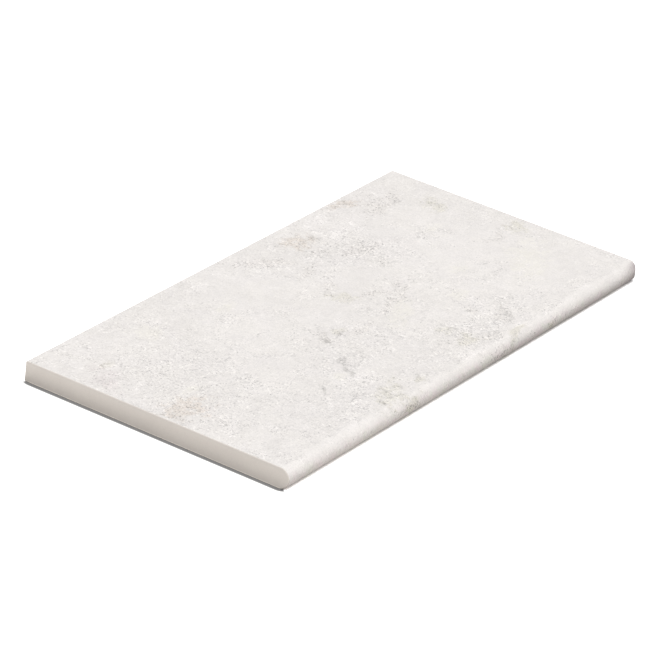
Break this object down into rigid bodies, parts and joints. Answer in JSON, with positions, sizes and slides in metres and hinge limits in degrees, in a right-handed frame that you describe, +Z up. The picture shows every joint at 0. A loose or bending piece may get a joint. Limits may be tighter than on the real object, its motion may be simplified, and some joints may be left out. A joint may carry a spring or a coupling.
{
  "type": "bullnose tile",
  "caption": "Thick porcelain tile for the edge of a stair or pool, with a full bullnose along a long side, sawn ends and back, a stone-look face and a keyed underside.",
  "frame": {"origin": "middle of the underside, on the plane of its ribs and borders", "axes": "+X along the tile, -Y out through the bullnose, +Z up through the walked-on face"},
  "size_m": [0.6, 0.293, 0.0205],
  "materials": {
    "porcelain": "matte"
  },
  "bodies": {
    "root": {"bullnose_tile": "porcelain"}
  },
  "joints": []
}
